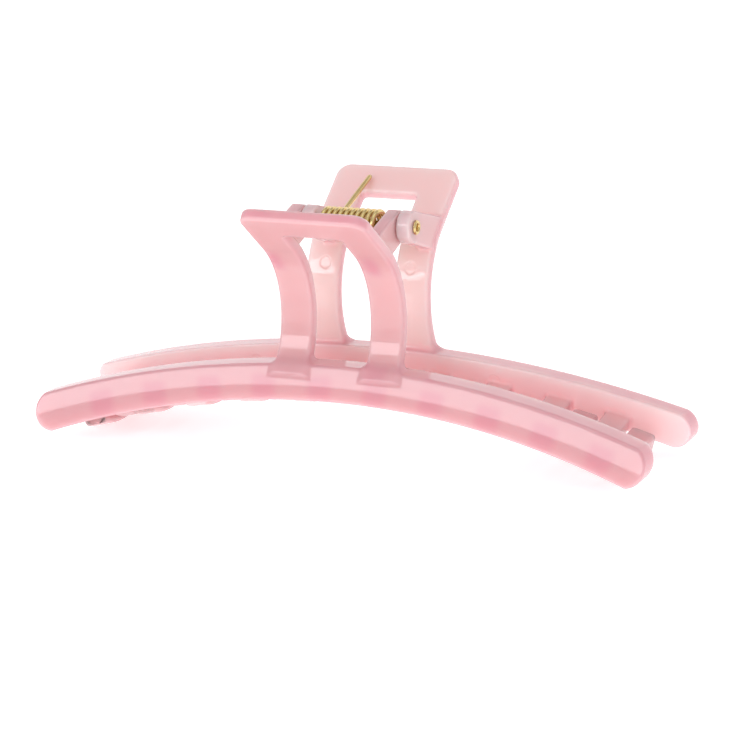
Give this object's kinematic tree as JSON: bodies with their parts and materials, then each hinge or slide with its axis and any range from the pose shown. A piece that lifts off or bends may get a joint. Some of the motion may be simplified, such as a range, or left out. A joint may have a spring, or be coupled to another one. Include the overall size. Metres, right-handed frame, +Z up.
{
  "type": "claw clip",
  "caption": "Large arched claw clip: matching moulded jaws with long interleaving teeth and slotted thumb plates turn on a tubular pin against a torsion spring.",
  "frame": {"origin": "centre of the closed clip's footprint, level with its lowest tooth corners", "axes": "+X along the clip and its hinge, +Y from the front jaw to the rear jaw, +Z up towards the thumb plates"},
  "size_m": [0.135, 0.0506, 0.0542],
  "materials": {
    "rose_plastic": "milky translucent rose, polished",
    "gold_wire": "gold-plated steel wire, polished",
    "gold_pin": "gold-plated tube, polished"
  },
  "bodies": {
    "front_jaw": {"front_jaw": "rose_plastic", "hinge_pin": "gold_pin", "torsion_spring": "gold_wire"},
    "rear_jaw": {"rear_jaw": "rose_plastic"}
  },
  "joints": [
    {"name": "hinge", "type": "hinge", "parent": "front_jaw", "child": "rear_jaw", "pos_m": [0, 0, 0.0468], "axis": [1, 0, 0], "range_deg": [0, 60], "stiffness_Nm_per_rad": 0.07, "springref_deg": -68.75, "deforming": ["torsion_spring"]}
  ]
}
